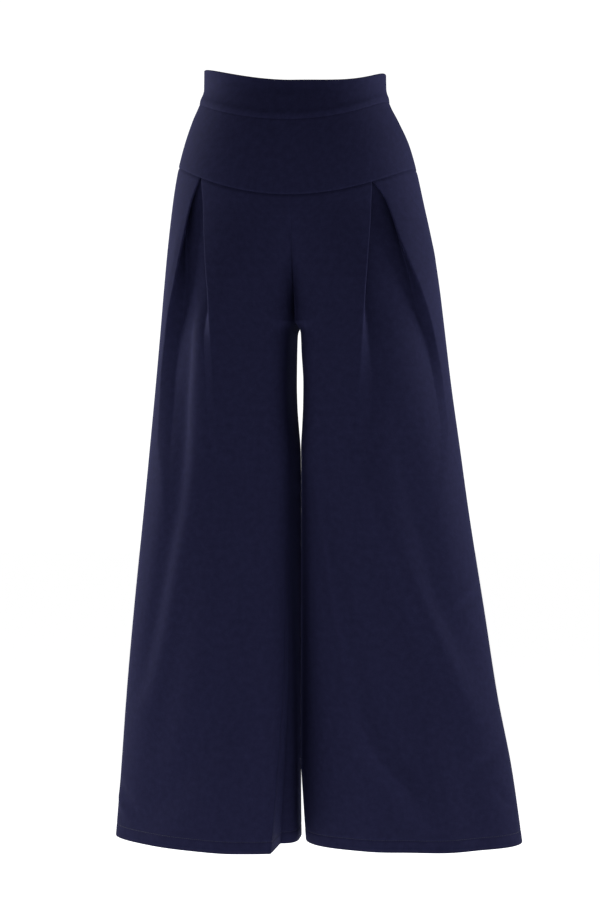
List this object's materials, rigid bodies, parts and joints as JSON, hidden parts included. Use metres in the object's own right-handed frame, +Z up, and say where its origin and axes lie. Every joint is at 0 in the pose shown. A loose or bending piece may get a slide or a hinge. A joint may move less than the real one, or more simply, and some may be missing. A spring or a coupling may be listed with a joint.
{
  "type": "wide-leg trousers",
  "caption": "High-waisted wide-leg trousers with a waistband, hip yokes and an inverted pleat in each front leg, filled out and hollow as worn.",
  "frame": {"origin": "middle of the waist hollow, 1.0 m above the hem, where the wearer holds the garment up", "axes": "+Z up to the waistband, -Y to the front of the garment, +X to the viewer's right, which is the wearer's left"},
  "size_m": [0.5585, 0.2616, 1.0505],
  "materials": {
    "cloth": "matt navy stretch crepe with a soft sheen"
  },
  "bodies": {
    "root": {"waistband_front": "cloth", "waistband_back": "cloth", "yoke_front": "cloth", "yoke_back": "cloth", "leg_front_left": "cloth", "leg_front_right": "cloth", "leg_back_left": "cloth", "leg_back_right": "cloth"}
  },
  "joints": []
}
